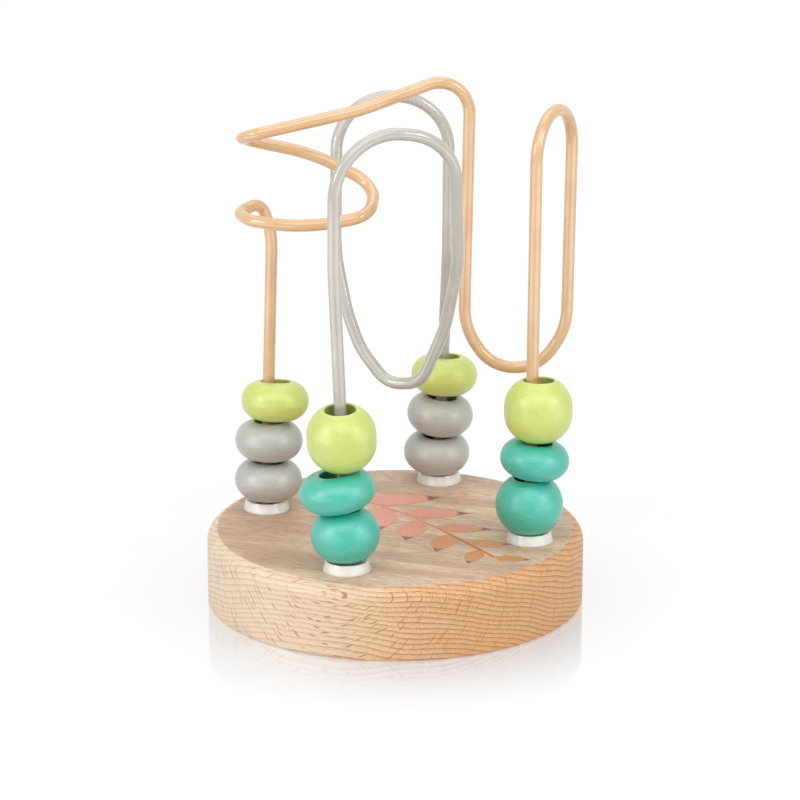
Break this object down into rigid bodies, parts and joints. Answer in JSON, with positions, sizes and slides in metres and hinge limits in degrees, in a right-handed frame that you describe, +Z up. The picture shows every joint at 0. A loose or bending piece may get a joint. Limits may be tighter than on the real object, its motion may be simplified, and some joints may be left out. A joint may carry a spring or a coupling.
{
  "type": "bead maze",
  "caption": "Small wooden bead maze: two coated steel wires bent into loops stand on a round beech base and carry painted round and flat beads that slide along them.",
  "frame": {"origin": "middle of the base's underside, on the surface it stands on", "axes": "+Z up; the wire feet stand on or near the X and Y axes, -Y towards the front foot and +X towards the right foot"},
  "size_m": [0.125, 0.125, 0.1738],
  "materials": {
    "beech": "fine-sanded beech under a thin clear matt oil",
    "peach_coat": "glossy smooth coating on steel wire",
    "grey_coat": "glossy smooth coating on steel wire",
    "ivory_plastic": "glossy moulded plastic",
    "spring_steel": "bright stamped spring steel",
    "beech_plug": "sanded beech dowel, end grain",
    "lime_paint": "satin paint over turned beech",
    "teal_paint": "satin paint over turned beech",
    "grey_paint": "satin paint over turned beech"
  },
  "bodies": {
    "base": {"base_disc": "beech", "wire_peach": "peach_coat", "wire_grey": "grey_coat", "left_collar": "ivory_plastic", "front_collar": "ivory_plastic", "back_collar": "ivory_plastic", "right_collar": "ivory_plastic", "left_push_nut": "spring_steel", "front_push_nut": "spring_steel", "back_push_nut": "spring_steel", "right_push_nut": "spring_steel", "left_hole_plug": "beech_plug", "front_hole_plug": "beech_plug", "back_hole_plug": "beech_plug", "right_hole_plug": "beech_plug"},
    "left_lower_bead": {"left_grey_bead_lower": "grey_paint"},
    "left_middle_bead": {"left_grey_bead_upper": "grey_paint"},
    "left_top_bead": {"left_lime_bead": "lime_paint"},
    "front_lower_bead": {"front_teal_ball": "teal_paint"},
    "front_middle_bead": {"front_teal_bead": "teal_paint"},
    "front_top_bead": {"front_lime_ball": "lime_paint"},
    "back_lower_bead": {"back_grey_bead_lower": "grey_paint"},
    "back_middle_bead": {"back_grey_bead_upper": "grey_paint"},
    "back_top_bead": {"back_lime_bead": "lime_paint"},
    "right_lower_bead": {"right_teal_ball": "teal_paint"},
    "right_middle_bead": {"right_teal_bead": "teal_paint"},
    "right_top_bead": {"right_lime_ball": "lime_paint"}
  },
  "joints": [
    {"name": "left_lower_slide", "type": "slide", "parent": "base", "child": "left_lower_bead", "axis": [0.0361, -0.0057, 0.9993], "range_m": [0, 0.014]},
    {"name": "left_middle_slide", "type": "slide", "parent": "left_lower_bead", "child": "left_middle_bead", "axis": [0.0361, -0.0057, 0.9993], "range_m": [0, 0.014]},
    {"name": "left_top_slide", "type": "slide", "parent": "left_middle_bead", "child": "left_top_bead", "axis": [0.0361, -0.0057, 0.9993], "range_m": [0, 0.015]},
    {"name": "front_lower_slide", "type": "slide", "parent": "base", "child": "front_lower_bead", "axis": [-0.0437, 0.0022, 0.999], "range_m": [0, 0.018]},
    {"name": "front_middle_slide", "type": "slide", "parent": "front_lower_bead", "child": "front_middle_bead", "axis": [-0.0437, 0.0022, 0.999], "range_m": [0, 0.018]},
    {"name": "front_top_slide", "type": "slide", "parent": "front_middle_bead", "child": "front_top_bead", "axis": [-0.0437, 0.0022, 0.999], "range_m": [0, 0.022]},
    {"name": "back_lower_slide", "type": "slide", "parent": "base", "child": "back_lower_bead", "axis": [0.0522, -0.0417, 0.9978], "range_m": [0, 0.014]},
    {"name": "back_middle_slide", "type": "slide", "parent": "back_lower_bead", "child": "back_middle_bead", "axis": [0.0522, -0.0417, 0.9978], "range_m": [0, 0.014]},
    {"name": "back_top_slide", "type": "slide", "parent": "back_middle_bead", "child": "back_top_bead", "axis": [0.0522, -0.0417, 0.9978], "range_m": [0, 0.017]},
    {"name": "right_lower_slide", "type": "slide", "parent": "base", "child": "right_lower_bead", "axis": [0.006, 0.0038, 1], "range_m": [0, 0.02]},
    {"name": "right_middle_slide", "type": "slide", "parent": "right_lower_bead", "child": "right_middle_bead", "axis": [0.006, 0.0038, 1], "range_m": [0, 0.02]},
    {"name": "right_top_slide", "type": "slide", "parent": "right_middle_bead", "child": "right_top_bead", "axis": [0.006, 0.0038, 1], "range_m": [0, 0.026]}
  ]
}
